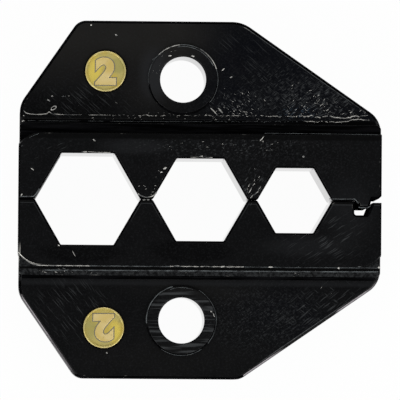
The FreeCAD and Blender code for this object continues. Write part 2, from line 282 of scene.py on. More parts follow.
def build_patch_group():
    """A soft-edged oval on the faces, 1 inside and 0 outside."""
    tree, given, out = new_group("soft patch", "ShaderNodeTree", {
        "Position": ("Vector", None), "Centre X": ("Float", 0.0), "Centre Y": ("Float", 0.0),
        "Half Width": ("Float", 0.01), "Half Height": ("Float", 0.01), "Turn": ("Float", 0.0),
        "Softness": ("Float", 0.5)}, {"Mask": "Float"})
    centre = combined(tree, given["Centre X"], given["Centre Y"])
    size = combined(tree, given["Half Width"], given["Half Height"], 1.0)
    offset = vectors(tree, "SUBTRACT", given["Position"], centre)
    flat = vectors(tree, "MULTIPLY", offset, (1, 1, 0))
    turned = turned_about_z(tree, flat, given["Turn"])
    share = vectors(tree, "DIVIDE", turned, size)
    reach = add_node(tree, "ShaderNodeVectorMath", {0: share}, operation="LENGTH").outputs["Value"]
    inner = maths(tree, "SUBTRACT", 1.0, given["Softness"])
    tree.links.new(ramp(tree, reach, 1.0, inner), out["Mask"])
    return tree


def build_fleck_group():
    """Short strokes that lie along one direction, each in a cell of its own."""
    tree, given, out = new_group("worn flecks", "ShaderNodeTree", {
        "Position": ("Vector", None), "Turn": ("Float", 0.0), "Length": ("Float", 0.001),
        "Width": ("Float", 0.0002), "Share": ("Float", 0.3), "Wander": ("Float", 0.0001)}, {"Mask": "Float"})
    coarse = {"Vector": given["Position"], "Scale": 900.0, "Detail": 1.0}
    drift = add_node(tree, "ShaderNodeTexNoise", coarse).outputs["Color"]
    wander = scaled(tree, vectors(tree, "SUBTRACT", drift, (0.5, 0.5, 0.5)), given["Wander"])
    moved = vectors(tree, "ADD", given["Position"], wander)
    turned = turned_about_z(tree, moved, given["Turn"])
    size = combined(tree, given["Length"], given["Width"], 0.002)
    cells = vectors(tree, "DIVIDE", turned, size)
    cell = add_node(tree, "ShaderNodeTexVoronoi", {"Vector": cells, "Scale": 1.0})
    stroke = ramp(tree, cell.outputs["Distance"], 0.40, 0.14)
    chance = add_node(tree, "ShaderNodeSeparateColor", {0: cell.outputs["Color"]}).outputs[0]
    start = maths(tree, "SUBTRACT", 1.0, given["Share"])
    lit = ramp(tree, chance, start, maths(tree, "ADD", start, 0.3))
    tree.links.new(maths(tree, "MULTIPLY", stroke, lit), out["Mask"])
    return tree


def build_hexagon_group():
    """How far a point of the faces lies outside a hexagon with level flats."""
    tree, given, out = new_group("hexagon reach", "ShaderNodeTree", {
        "Position": ("Vector", None), "Centre X": ("Float", 0.0), "Apothem": ("Float", 0.004)},
        {"Reach": "Float"})
    x, y, _ = add_node(tree, "ShaderNodeSeparateXYZ", {0: given["Position"]}).outputs
    along = maths(tree, "ABSOLUTE", maths(tree, "SUBTRACT", x, given["Centre X"]))
    across = maths(tree, "ABSOLUTE", y)
    slanted = maths(tree, "MULTIPLY_ADD", along, math.cos(math.pi / 6), maths(tree, "MULTIPLY", across, 0.5))
    reach = maths(tree, "SUBTRACT", maths(tree, "MAXIMUM", slanted, across), given["Apothem"])
    tree.links.new(reach, out["Reach"])
    return tree


def build_grain_group():
    """Height of the fine grain and of brush marks that run along one direction."""
    tree, given, out = new_group("oxide grain", "ShaderNodeTree", {
        "Position": ("Vector", None), "Grain Size": ("Float", 0.00016), "Turn": ("Float", 0.0),
        "Brushing": ("Float", 0.3)}, {"Height": "Float"})
    fineness = maths(tree, "DIVIDE", 1.0, given["Grain Size"])
    grain = noise(tree, given["Position"], fineness, 3.0, Roughness=0.6)
    turned = turned_about_z(tree, given["Position"], given["Turn"])
    drawn_out = vectors(tree, "MULTIPLY", turned, (0.09, 1.0, 0.3))
    brush = noise(tree, drawn_out, fineness, 2.0, Distortion=0.4)
    mixed = add_node(tree, "ShaderNodeMix", {0: given["Brushing"], 2: grain, 3: brush})
    tree.links.new(mixed.outputs[0], out["Height"])
    return tree


def build_edge_wear_group():
    """How far the coating is gone on the broken edges, in patches along them."""
    tree, given, out = new_group("edge wear", "ShaderNodeTree", {
        "Position": ("Vector", None), "Edge": ("Float", 0.0), "Amount": ("Float", 0.5),
        "Patch Size": ("Float", 0.002)}, {"Mask": "Float"})
    fineness = maths(tree, "DIVIDE", 1.0, given["Patch Size"])
    cloud = noise(tree, given["Position"], fineness, 4.0, Roughness=0.65)
    start = maths(tree, "SUBTRACT", 0.78, maths(tree, "MULTIPLY", given["Amount"], 0.5))
    worn = ramp(tree, cloud, start, maths(tree, "ADD", start, 0.16))
    tree.links.new(maths(tree, "MULTIPLY", worn, given["Edge"]), out["Mask"])
    return tree


# Materials

# The shared node groups and the materials by name, which finish_sets fills
GROUP = {}
MATERIAL = {}


def new_material(name, shown):
    """A material, its tree, its shader and the place on the piece, with the flat colour of the viewport."""
    material = bpy.data.materials.new(name)
    material.use_nodes = True
    material.diffuse_color = rgba(shown)
    tree = material.node_tree
    place = tree.nodes.new("ShaderNodeTexCoord").outputs["Object"]
    return material, tree, tree.nodes["Principled BSDF"], place


def patch(tree, place, x, y, width, height, turn, softness):
    """A soft patch, with its middle, half width and half height in millimetres and its turn in degrees."""
    return use_group(tree, GROUP["patch"], {
        "Position": place, "Centre X": x * MM, "Centre Y": y * MM, "Half Width": width * MM,
        "Half Height": height * MM, "Turn": math.radians(-turn), "Softness": softness})


def patches(tree, place, *shapes):
    """Several soft patches as one mask, each with the same values as a single one."""
    return total(tree, [patch(tree, place, *shape) for shape in shapes])


def flecks(tree, place, turn, long_way, across, share, wander=0.1):
    """Rubbed strokes along a direction in degrees, with their sizes in millimetres."""
    return use_group(tree, GROUP["flecks"], {
        "Position": place, "Turn": math.radians(-turn), "Length": long_way * MM, "Width": across * MM,
        "Share": share, "Wander": wander * MM})


def tone_of_oxide(tree, place, steel):
    """The coating's tone: warm at the back left, bluish at the right and black beside the steps, with a
    painted highlight on the face below the lower step.
    """
    x, y, z = add_node(tree, "ShaderNodeSeparateXYZ", {0: place}).outputs
    upper = rise(tree, y, 0.0, 0.1)
    wing = rise(tree, z, 8.2, 8.1)
    right = rise(tree, x, -2.5, 3.0)
    cloud = noise(tree, place, 260.0, 2.0)

    def area(share, *shape):
        """A patch that is only partly there."""
        return maths(tree, "MULTIPLY", patch(tree, place, *shape), share)

    warm = product(tree, wing, rise(tree, y, 9.3, 16.8), rise(tree, x, 5.0, -0.5))
    warm = total(tree, [warm, area(0.4, -5.2, 10.4, 4.6, 3.2, 0, 0.9), area(0.2, -4, -16, 14, 3.5, 0, 0.9),
                        area(0.34, 0.5, -9.0, 11.0, 1.8, -3, 0.9)])
    tone = blend(tree, warm, rgba(steel.oxide), rgba(steel.warm_oxide))
    cool = total(tree, [product(tree, upper, wing, right), area(0.5, 9, -11.5, 8, 4.5, -20, 0.8)])
    cool = maths(tree, "MULTIPLY", cool, ramp(tree, cloud, 0.8, 0.3, 0.6, 1.0))
    tone = blend(tree, cool, tone, rgba(steel.cool_oxide))
    beside_step = product(tree, wing, strip(tree, y, 7.5, 10.6, 1.5), rise(tree, x, -7.5, -10.5))
    deep = total(tree, [beside_step, area(1.3, -11.9, -5.4, 5.0, 1.2, 0, 0.5),
                        area(1.3, -0.8, -5.1, 5.0, 1.5, 0, 0.5), area(0.5, -13.5, -9.5, 4.0, 1.3, 0, 0.8),
                        area(0.45, 9.0, 5.0, 5.0, 1.0, 0, 0.8)])
    tone = blend(tree, maths(tree, "MULTIPLY", deep, 0.75), tone, rgba(steel.deep_oxide))

    # A little greyer behind the left cavity, left of the upper screw and at the right, and a painted
    # highlight along the face below the lower step
    light = total(tree, [area(0.35, -6.5, 5.3, 4.6, 1.1, 0, 0.7), area(0.75, -4.6, 12.6, 2.1, 3.6, 0, 0.7),
                         area(0.25, 15.0, -1.0, 3.6, 5.0, 0, 0.8), area(0.3, 10.5, -4.6, 6.5, 1.5, 0, 0.8),
                         maths(tree, "MULTIPLY", strip(tree, y, -8.55, -8.1, 0.2), 0.45)])
    return blend(tree, light, tone, rgba(steel.scuffed_grey_and_highlight))


def grain_of_oxide(tree, place):
    """The coating's raised grain, stronger on the worked faces."""
    leather = noise(tree, place, 5200.0, 3.0, Roughness=0.65, Distortion=0.5)
    coarse = patches(tree, place, (9.8, 9.9, 9.3, 3.9, 8, 0.7), (5.5, 3.6, 14, 4.4, 0, 0.8),
                     (6.6, -11.7, 8.4, 4.8, 0, 0.8))
    return product(tree, ramp(tree, leather, 0.47, 0.68), maths(tree, "MULTIPLY_ADD", coarse, 0.30, 0.26))


def strokes_of_oxide(tree, place):
    """Fine rubbed strokes over the front faces, each field along its own directions."""
    def field(strength, shape, *strokes):
        """A patch with strokes, which are given by turn, length, width, share and wander."""
        mask = total(tree, [flecks(tree, place, *stroke) for stroke in strokes])
        return product(tree, patch(tree, place, *shape), maths(tree, "MULTIPLY", mask, strength))

    boss = tuple(at * MM for at in (*SCREWS["lower"], BOSS))
    from_boss = add_node(tree, "ShaderNodeVectorMath", {0: place, 1: boss}, operation="DISTANCE")
    lines = noise(tree, vectors(tree, "MULTIPLY", place, (0.22, 3.0, 0.0)), 1000.0, 2.0)
    milled = product(tree, rise(tree, from_boss.outputs["Value"], BOSS_FOOT - 0.05, BOSS_FOOT - 0.15),
                     ramp(tree, lines, 0.48, 0.66, 0.0, 0.5))
    strokes = total(tree, [
        milled,
        field(0.8, (11.6, 9.7, 8.0, 3.0, 0, 0.8), (36, 0.9, 0.1, 0.8, 0.06), (-30, 0.55, 0.09, 0.5, 0.05)),
        field(0.42, (8.8, 11.4, 8.0, 3.8, 0, 0.8), (38, 0.7, 0.09, 0.7, 0.06), (-40, 0.9, 0.09, 0.6, 0.06)),
        field(0.8, (3.6, 9.7, 4.0, 2.1, 0, 0.8), (-38, 0.7, 0.1, 0.6, 0.06), (60, 0.35, 0.12, 0.35, 0.1)),
        field(0.34, (4.6, 14.8, 5.0, 2.6, -30, 0.8), (-42, 2.6, 0.11, 0.7, 0.15)),
        field(0.55, (3, 5.4, 13, 1.8, 0, 0.8), (10, 0.45, 0.13, 0.55, 0.3), (65, 0.4, 0.12, 0.3, 0.3)),
        field(0.9, (5.1, 1.5, 1.8, 2.6, 0, 0.6), (55, 0.9, 0.12, 0.55)),
        field(0.34, (-11.4, 9.6, 6.0, 2.8, 0, 0.7), (-42, 2.2, 0.1, 0.7, 0.12)),
        field(0.45, (-15.0, 5.2, 3.4, 1.4, 15, 0.7), (24, 1.3, 0.11, 0.5, 0.15)),
        field(0.42, (-12.6, -11.0, 5.2, 4.3, -20, 0.7), (-50, 2.0, 0.1, 0.9, 0.3)),
        field(0.45, (11.8, -10.4, 6.0, 2.6, 25, 0.7), (38, 2.0, 0.13, 0.75, 0.25),
              (-38, 1.0, 0.12, 0.4, 0.2)),
        field(0.3, (6.6, -11.9, 8.4, 5.0, 0, 0.8), (34, 0.6, 0.1, 0.7, 0.1), (-50, 0.4, 0.1, 0.5, 0.1)),
        field(0.5, (12.4, -3.6, 5.4, 3.6, 0, 0.8), (33, 1.8, 0.12, 0.8, 0.3)),
    ])
    height = add_node(tree, "ShaderNodeSeparateXYZ", {0: place}).outputs[2]
    return product(tree, strokes, rise(tree, height, 7.45, 7.55))


def paint_shade_bands(tree, place, x, y, z, lower, base, steel):
    """Painted shade: black where the halves meet, around the lower cavities, on the upper crest and around
    the pins.
    """
    reach = [use_group(tree, GROUP["hexagon"], {"Position": place, "Centre X": centre * MM,
                                                "Apothem": flats / 2 * MM}) for centre, flats in HEXAGONS]
    reach = maths(tree, "MINIMUM", maths(tree, "MINIMUM", reach[0], reach[1]), reach[2])
    # Painted shade: black rims round the lower cavities, the upper crest, the line where the halves meet and
    # a shadow ring round each pin
    rim = product(tree, lower, rise(tree, reach, 0.22, 0.17))
    crest = product(tree, rise(tree, z, 8.6, 8.7), rise(tree, y, 5.95, 6.15))
    off_tongue = maths(tree, "SUBTRACT", 1.0, strip(tree, x, 15.75, 17.1, 0.04))
    meeting = product(tree, rise(tree, z, 8.5, 8.6), strip(tree, y, -0.32, 0.12, 0.02), off_tongue)
    # Painted shadow ring round each pin
    pin_shadow = patches(tree, place, *((*PINS[half], PIN_SHADOW_RADIUS, PIN_SHADOW_RADIUS, 0, 0.08) for half in HALVES))
    black = total(tree, [rim, maths(tree, "MULTIPLY", crest, 0.8), meeting, pin_shadow])
    base = blend(tree, black, base, rgba(steel.grime))

    # A grey hairline beside the black rims and the meeting line
    near_line = rise(tree, y, -2.6, -1.2)
    beside_rim = product(tree, strip(tree, reach, 0.25, 0.31, 0.02), rise(tree, y, -0.3, -0.36))
    beside_line = product(tree, strip(tree, y, -0.43, -0.36, 0.02), rise(tree, reach, 0.24, 0.28))
    hairline = product(tree, lower, near_line, maths(tree, "MAXIMUM", beside_rim, beside_line))
    return blend(tree, maths(tree, "MULTIPLY", hairline, 0.3), base, rgba(steel.rubbed))


def paint_light_on_lower_ledge(tree, y, z, lower, mottle, base, steel):
    """Painted light on the lower ledge, a rough grey that stands for a lit slope, under a black painted
    shadow line that stands for a groove.
    """
    on_ledge = product(tree, rise(tree, z, 8.2, 8.35), rise(tree, z, 8.8, 8.7), lower)
    # Only the lower ledge is painted grey as if lit by the front lights
    painted_ledge_light = product(tree, on_ledge, ramp(tree, mottle, 0.36, 0.66, 0.02, 0.30))
    base = blend(tree, painted_ledge_light, base, rgba(steel.rubbed))
    # A black painted shadow line at the foot of the crown
    painted_groove_shadow = product(tree, on_ledge, strip(tree, y, -7.0, -6.78, 0.03))
    return blend(tree, painted_groove_shadow, base, rgba(steel.grime))


def paint_chamfer_shade_and_reflection(tree, place, z, edge, mottle, base, steel):
    """Painted shade on the chamfers, a painted reflection on the lower half's long ones and a painted
    highlight on their inner borders.
    """
    on_chamfer = product(tree, rise(tree, z, 7.3, 7.34), rise(tree, z, 7.69, 7.66))
    bright_stretch = patches(tree, place, (-16.6, -12.0, 1.0, 3.2, 33, 0.3), (5.7, -16.8, 2.6, 1.0, 34, 0.3),
                             (15.2, -10.0, 2.2, 1.0, 34, 0.3))
    long_chamfers = patches(tree, place, (-15.2, -13.4, 0.9, 5.4, 33, 0.3), (5.9, -16.6, 3.4, 1.0, 34, 0.3),
                            (15.9, -9.6, 2.9, 1.0, 34, 0.3))
    # Painted shade on all chamfers
    base = blend(tree, maths(tree, "MULTIPLY", on_chamfer, 0.9), base, rgba(steel.grime))
    # Painted reflection of the lights on the lower half's long chamfers
    painted_reflection_mask = product(tree, on_chamfer, long_chamfers, rise(tree, z, 7.6, 7.57),
                     ramp(tree, mottle, 0.25, 0.5, 0.6, 1.0))
    base = blend(tree, maths(tree, "MULTIPLY", painted_reflection_mask, 0.8), base, rgba(steel.painted_chamfer_reflection))
    # A brighter painted highlight on the lower border of the reflection
    painted_highlight_border = product(tree, painted_reflection_mask, rise(tree, z, 7.47, 7.51), bright_stretch)
    base = blend(tree, painted_highlight_border, base, rgba(steel.painted_chamfer_reflection, 2.2))
    # Painted highlight on the chamfers' inner borders
    inner_stretch = patches(tree, place, (10.7, 13.3, 8.6, 0.7, -34, 0.3), (10.6, -13.2, 6.0, 0.8, 34, 0.3))
    painted_inner_highlight = product(tree, edge, rise(tree, z, 7.6, 7.67), ramp(tree, mottle, 0.3, 0.55, 0.3, 1.0),
                           inner_stretch)
    return blend(tree, painted_inner_highlight, base, rgba(steel.rubbed))


def worn_edges(tree, place, edge):
    """How bare the edges are: thinly in patches everywhere, and more at the lower jaw's left corner."""
    everywhere = use_group(tree, GROUP["edge_wear"], {
        "Position": place, "Edge": edge, "Amount": 0.36, "Patch Size": 1.6 * MM})
    corner = product(tree, edge, patch(tree, place, -17.4, -5.8, 2.0, 1.6, 0, 0.5))
    rubbed = use_group(tree, GROUP["edge_wear"], {
        "Position": place, "Edge": corner, "Amount": 1.0, "Patch Size": 2.5 * MM})
    return total(tree, [maths(tree, "MULTIPLY", everywhere, 0.4), rubbed])


def build_oxide_material(steel):
    """Semi-gloss black oxide with grain, rubbed strokes and edges worn bare, with painted shade bands,
    painted light on the lower ledge and painted reflections and highlights on the chamfers.
    """
    material, tree, shader, place = new_material("blackened_steel", (0.03, 0.03, 0.032))
    x, y, z = add_node(tree, "ShaderNodeSeparateXYZ", {0: place}).outputs
    edge = add_node(tree, "ShaderNodeAttribute", attribute_name="outer_edge").outputs["Fac"]
    tone = tone_of_oxide(tree, place, steel)
    tone = blend(tree, grain_of_oxide(tree, place), tone, rgba(steel.scuffed_grey_and_highlight))
    strokes = strokes_of_oxide(tree, place)
    bluish = patch(tree, place, 9.8, 8.8, 2.6, 1.0, 0, 0.6)
    rubbed = blend(tree, bluish, rgba(steel.rubbed), rgba(steel.bluish))
    base = blend(tree, strokes, tone, rubbed)
    lower = rise(tree, y, 0.0, -0.1)
    base = paint_shade_bands(tree, place, x, y, z, lower, base, steel)
    mottle = noise(tree, place, 2600.0, 3.0, Roughness=0.7)
    base = paint_light_on_lower_ledge(tree, y, z, lower, mottle, base, steel)
    base = paint_chamfer_shade_and_reflection(tree, place, z, edge, mottle, base, steel)
    bare = worn_edges(tree, place, edge)
    base = blend(tree, bare, base, rgba(steel.bare_steel))
    metallic = maths(tree, "MULTIPLY", bare, 0.6)
    roughness = ramp(tree, noise(tree, place, 700.0, 3.0), 0.25, 0.75, 0.34, 0.46)
    grain = use_group(tree, GROUP["grain"], {
        "Position": place, "Grain Size": steel.grain_size, "Turn": math.radians(12), "Brushing": 0.35})
    height = maths(tree, "MULTIPLY_ADD", strokes, 0.6, grain)
    give(tree, shader, {"Base Color": base, "Metallic": metallic, "Roughness": roughness,
                        "Specular IOR Level": 0.08, "Normal": bump(tree, height, 0.75, 0.03)})
    return material


def build_plain_oxide_material(name, base, roughness, specular, streaks=1.0, top=2.2):
    """Oxide without marks, for the walls of the holes and for the dead black painted shade on the roots and
    chamfers.
    """
    material, tree, shader, place = new_material(name, (0.02, 0.02, 0.022))
    drawn = vectors(tree, "MULTIPLY", place, (1.0 / streaks, streaks, streaks))
    cloud = noise(tree, drawn, 900.0, 3.0)
    toned = blend(tree, ramp(tree, cloud, 0.35, 0.7), rgba(base), rgba(base, top))
    give(tree, shader, {"Base Color": toned, "Specular IOR Level": specular,
                        "Roughness": ramp(tree, cloud, 0.3, 0.7, roughness, roughness * 1.4)})
    return material


def build_bare_steel_material(name, low, high):
    """Steel scraped bare or rubbed grey on the worn lines, nicks and flecks."""
    material, tree, shader, place = new_material(name, high)
    cloud = noise(tree, place, 1500.0, 3.0)
    toned = blend(tree, ramp(tree, cloud, 0.3, 0.62), rgba(low), rgba(high))
    give(tree, shader, {"Base Color": toned, "Metallic": 0.2,
                        "Roughness": ramp(tree, cloud, 0.3, 0.7, 0.3, 0.5)})
    return material


def build_brass_material(name, brass, plain, streak, patched=1.0):
    """Stamped brass with olive and golden patches under a thin lacquer."""
    material, tree, shader, place = new_material(name, plain)
    cloud = noise(tree, place, 520.0, 2.0, Distortion=0.6)
    base = blend(tree, ramp(tree, cloud, 0.35, 0.65), rgba(plain), rgba(streak))
    spots = noise(tree, place, 3800.0, 2.0)
    gilt = patches(tree, place, (-10.6, 12.9, 0.9, 1.9, -12, 0.6), (-8.4, -13.3, 0.8, 1.5, 0, 0.6))
    olive = patches(tree, place, (-8.4, 13.4, 1.0, 0.9, 0, 0.4), (-10.8, -12.7, 0.9, 1.7, 0, 0.7))
    base = blend(tree, maths(tree, "MULTIPLY", gilt, 0.8 * patched), base, rgba(brass.gilt))
    base = blend(tree, maths(tree, "MULTIPLY", olive, 0.45 * patched), base, rgba(brass.olive))
    base = blend(tree, ramp(tree, spots, 0.62, 0.75, 0.0, 0.35), base, rgba(plain, 0.45))
    grain = use_group(tree, GROUP["grain"], {
        "Position": place, "Grain Size": 0.12 * MM, "Turn": math.radians(80), "Brushing": 0.6})
    give(tree, shader, {"Base Color": base, "Metallic": 0.3, "Normal": bump(tree, grain, 0.35, 0.01),
                        "Roughness": ramp(tree, cloud, 0.3, 0.7, 0.3, 0.42)})
    return material


def build_floor_material():
    """Pale floor that shows plain white to the camera and in reflections, and keeps a soft shadow."""
    material, tree, shader, _ = new_material("pale_floor", (0.95, 0.95, 0.95))
    give(tree, shader, {"Base Color": (0.95, 0.95, 0.95, 1), "Roughness": 0.9, "Specular IOR Level": 0.0})
    path = tree.nodes.new("ShaderNodeLightPath").outputs
    seen = maths(tree, "MAXIMUM", path["Is Camera Ray"], path["Is Glossy Ray"])
    seen = maths(tree, "MAXIMUM", seen, path["Is Transmission Ray"])
    white = add_node(tree, "ShaderNodeEmission", {"Color": (1, 1, 1, 1), "Strength": 1.0})
    mixed = add_node(tree, "ShaderNodeMixShader", {0: maths(tree, "MULTIPLY", seen, 0.97),
                                                   1: shader.outputs[0], 2: white.outputs[0]})
    tree.links.new(mixed.outputs[0], tree.nodes["Material Output"].inputs["Surface"])
    return material


def finish_sets(scene):
    """The shared node groups and the materials, built once."""
    if MATERIAL:
        return MATERIAL
    GROUP.update(patch=build_patch_group(), hexagon=build_hexagon_group(), flecks=build_fleck_group(),
                 grain=build_grain_group(), edge_wear=build_edge_wear_group())
    steel, brass = scene.crimp_steel, scene.crimp_brass
    MATERIAL["oxide"] = build_oxide_material(steel)
    # Dead black painted shade for the roots, hole mouths, notch walls and shaded chamfers
    MATERIAL["grime"] = build_plain_oxide_material("painted_shade_steel", steel.grime, 0.6, 0.0, 4.0, 6.5)
    MATERIAL["wall"] = build_plain_oxide_material("bore_steel", steel.oxide, 0.04, 0.55)
    MATERIAL["bare"] = build_bare_steel_material("bare_steel", steel.rubbed, steel.bare_steel)
    MATERIAL["worn"] = build_bare_steel_material("worn_steel", steel.scuffed_grey_and_highlight, steel.worn_grey_and_highlight)
    MATERIAL["field"] = build_brass_material("brass_field", brass, brass.field, (0.66, 0.50, 0.10))
    MATERIAL["rim"] = build_brass_material("brass_rim", brass, brass.rim, (0.72, 0.55, 0.16))
    MATERIAL["raised"] = build_brass_material("brass_numeral", brass, brass.raised, (0.86, 0.68, 0.30), 0.15)
    # A dark grey painted shadow round the numerals
    MATERIAL["outline"] = build_brass_material("brass_painted_shadow", brass, brass.outline, brass.outline, 0.0)
    return MATERIAL


# Meshes

def add_piece(name, mesh, materials):
    piece = bpy.data.objects.new(name, mesh)
    bpy.context.scene.collection.objects.link(piece)
    for material in materials:
        mesh.materials.append(material)
    return piece


def plain_mesh(name, shape):
    """The mesh of a shape that was being edited, which is let go."""
    mesh = bpy.data.meshes.new(name)
    shape.to_mesh(mesh)
    shape.free()
    return mesh


def merged_solid(node_name):
    """The node's solid with its triangles joined and its flat faces made whole."""
    shape = bmesh.new()
    shape.from_mesh(frame["nodes"][node_name].data)
    bmesh.ops.remove_doubles(shape, verts=shape.verts, dist=0.002 * MM)
    bmesh.ops.dissolve_limit(shape, angle_limit=math.radians(0.3), verts=shape.verts, edges=shape.edges)
    return shape


def outer_edges(shape, least_degrees=28):
    convex = [edge for edge in shape.edges if edge.is_manifold and edge.is_convex]
    return [edge for edge in convex if edge.calc_face_angle() > math.radians(least_degrees)]


def finish_normals(piece):
    """Smooth shading that keeps flat faces flat and inner corners sharp."""
    mesh = piece.data
    mesh.shade_smooth()
    mesh.set_sharp_from_angle(angle=math.radians(50))
    modifier = piece.modifiers.new("flat_faces", "WEIGHTED_NORMAL")
    modifier.keep_sharp = True
    modifier.weight = 100
    evaluated = piece.evaluated_get(bpy.context.evaluated_depsgraph_get())
    finished = bpy.data.meshes.new_from_object(evaluated)
    piece.modifiers.remove(modifier)
    piece.data = finished
    finished.name = piece.name
    bpy.data.meshes.remove(mesh)


def break_outer_edges(shape, width):
    """A narrow rounded facet along the outer edges, marked in the outer_edge attribute."""
    edge_layer = shape.faces.layers.float.new("outer_edge")
    made = bmesh.ops.bevel(shape, geom=outer_edges(shape), offset=width, offset_type="OFFSET", segments=2,
                           profile=0.5, affect="EDGES", clamp_overlap=True)
    for face in made["faces"]:
        face[edge_layer] = 1.0


def assign_coats(shape, half):
    """Each face's coating by where it lies: 0 worn oxide, 1 dead black painted shade and 2 the sheer walls
    of the holes.
    """
    edge_layer = shape.faces.layers.float["outer_edge"]
    screw_x, screw_y = SCREWS[half]
    step_start, step_end = (6.72, 8.25) if half == "upper" else (7.55, 7.97)
    for face in shape.faces:
        middle = face.calc_center_median() / MM
        lean = abs(face.normal.z)
        slanted = 0.3 < lean < 0.95
        from_screw = math.hypot(middle.x - screw_x, middle.y - screw_y)
        back = abs(middle.y)
        in_cavity = back < 4.7 and abs(middle.x) < 14.6
        in_notch = back < 2.2 and middle.x > 14.6
        on_mouth = middle.z > 8.7 and 0.3 < lean < 0.94 and back < 5.0
        on_step = step_start < back < step_end and 7.72 < middle.z < 8.95
        on_chamfer = slanted and 7.3 < middle.z < 7.78 and back > 8.2
        shaded = half == "upper" or abs(middle.y + 17.8) < 0.3 or middle.x < -17.8
        on_boss = slanted and BOSS_FOOT - 0.3 < from_screw < BOSS_FOOT + 0.2
        below_boss = on_boss and middle.y < screw_y - 0.5
        if lean < 0.3 and (in_cavity or from_screw < 2.4):
            face.material_index = 2
        # The notch walls, hole mouths, step faces, shaded chamfers and boss chamfers below the screw get the
        # dead black painted shade
        elif lean < 0.94 and in_notch:
            face.material_index = 1
        elif face[edge_layer] < 0.5 and (on_mouth or on_step or on_chamfer and shaded or below_boss):
            face.material_index = 1


def arc(half, radius, start, end):
    """Points of an arc around a half's screw, from one angle to another in degrees."""
    x, y = SCREWS[half]
    angles = [math.radians(start + (end - start) * step / 24) for step in range(25)]
    return tuple((x + radius * math.cos(angle), y + radius * math.sin(angle)) for angle in angles)


# Worn lines along the steps, and painted highlight arcs on the boss rims, in millimetres on the front faces:
# points, level, size, gap share and waviness
WORN_LINES = {
    "upper": (
        (((-17.7, 8.83), (-17.46, 8.59), (-17.11, 8.49), (-16.36, 8.44), (-15.4, 8.54), (-15.16, 8.74),
          (-14.85, 8.52), (-14.05, 8.46)), WING, 0.7, 0.1, 0.8),
        (((-14.05, 8.46), (-12.6, 8.44)), WING, 0.6, 0.3, 0.8),
        (((-12.85, 8.46), (-9.0, 8.46)), WING, 0.68, 0.45, 0.8),
        (((-9.0, 8.46), (-5.0, 8.46), (3.1, 8.5)), WING, 0.72, 0.55, 3.5),
        (((3.1, 8.5), (9.0, 8.5)), WING, 0.9, 0.52, 4.5),
        (((8.7, 8.52), (10.1, 8.5), (12.7, 8.48)), WING, 1.2, 0.42, 5.0),
        (((13.0, 8.56), (13.5, 8.42), (14.4, 8.38), (15.0, 8.4), (15.5, 8.56), (16.0, 8.5)),
         WING, 1.2, 0.2, 3.0),
        (((10.2, 7.98), (12.6, 7.98)), 7.75, 1.0, 0.45, 4.0),
        (((12.5, 7.95), (14.1, 7.95), (14.7, 8.0), (15.2, 8.2), (15.8, 8.26), (16.4, 8.2), (17.0, 8.2)),
         7.75, 1.0, 0.22, 3.0),
        (((16.1, 8.6), (16.5, 8.62), (16.8, 8.66)), WING, 0.6, 0.3, 1.5),
        (((-6.2, 0.56), (-5.95, 0.38), (-5.6, 0.24), (-5.25, 0.2), (-4.9, 0.28), (-4.62, 0.42),
          (-4.38, 0.7)), 8.97, 1.1, 0.0, 0.4),
        (((-11.9, 4.7), (-11.24, 4.72), (-10.0, 4.66), (-9.0, 4.66)), 8.95, 0.9, 0.4, 0.8),
        (((-1.0, 4.24), (0.07, 4.3), (1.2, 4.24)), 8.95, 0.8, 0.4, 0.8),
        # Painted highlights where the upper boss's rim catches light
        (arc("upper", BOSS_FOOT, 135, 96), 7.86, 0.9, 0.05, 0.2),
        (arc("upper", BOSS_FOOT, 62, 18), 7.86, 0.95, 0.0, 0.2),
        (((1.03, 9.25), (1.38, 8.9), (1.74, 8.5)), 7.72, 0.9, 0.1, 0.6),
    ),
    "lower": (
        (((-18.1, -5.35), (-17.9, -5.66), (-17.62, -5.96), (-17.0, -6.42), (-16.44, -6.6), (-15.86, -6.67),
          (-13.3, -6.68), (-11.0, -6.68)), 8.87, 0.9, 0.0, 0.15),
        (((-3.6, -6.68), (-1.0, -6.66), (3.0, -6.68), (4.4, -6.66)), 8.87, 0.9, 0.35, 1.2),
        # A painted highlight where the lower boss's rim catches light
        (arc("lower", BOSS_FOOT, 150, 108), 7.86, 0.6, 0.1, 0.2),
    ),
}

